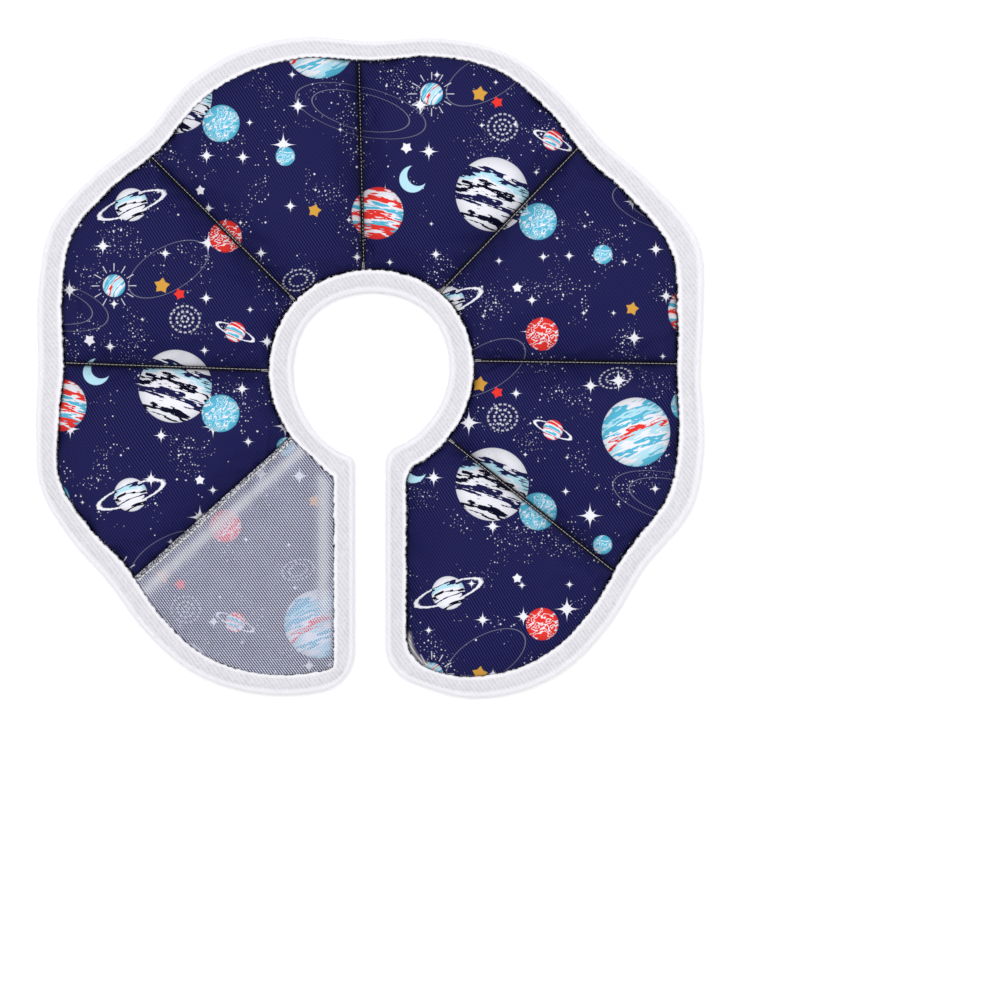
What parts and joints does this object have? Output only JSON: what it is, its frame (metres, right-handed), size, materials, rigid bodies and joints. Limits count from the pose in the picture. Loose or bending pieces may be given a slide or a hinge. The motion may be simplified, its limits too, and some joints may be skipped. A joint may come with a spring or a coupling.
{
  "type": "soft pet recovery collar",
  "caption": "Soft recovery collar laid open flat: an open ring of quilted panels round a neck hole, plush binding on every edge, and a hook tape panel on one end.",
  "frame": {"origin": "middle of the collar's outline box, on the surface that it rests on", "axes": "+Z out of the printed front, +Y away from the closing gap, +X to the right as seen on the front"},
  "size_m": [0.3206, 0.3166, 0.0133],
  "materials": {
    "printed_cloth": "navy twill with a printed pattern, slightly glossy, padded",
    "plush_binding": "white short-pile plush tape, matt",
    "hook_sheet": "grey see-through hook tape, satin",
    "sewing_thread": "off-white twisted thread"
  },
  "bodies": {
    "root": {"quilted_pad": "printed_cloth", "edge_binding": "plush_binding", "hook_panel": "hook_sheet"}
  },
  "joints": []
}
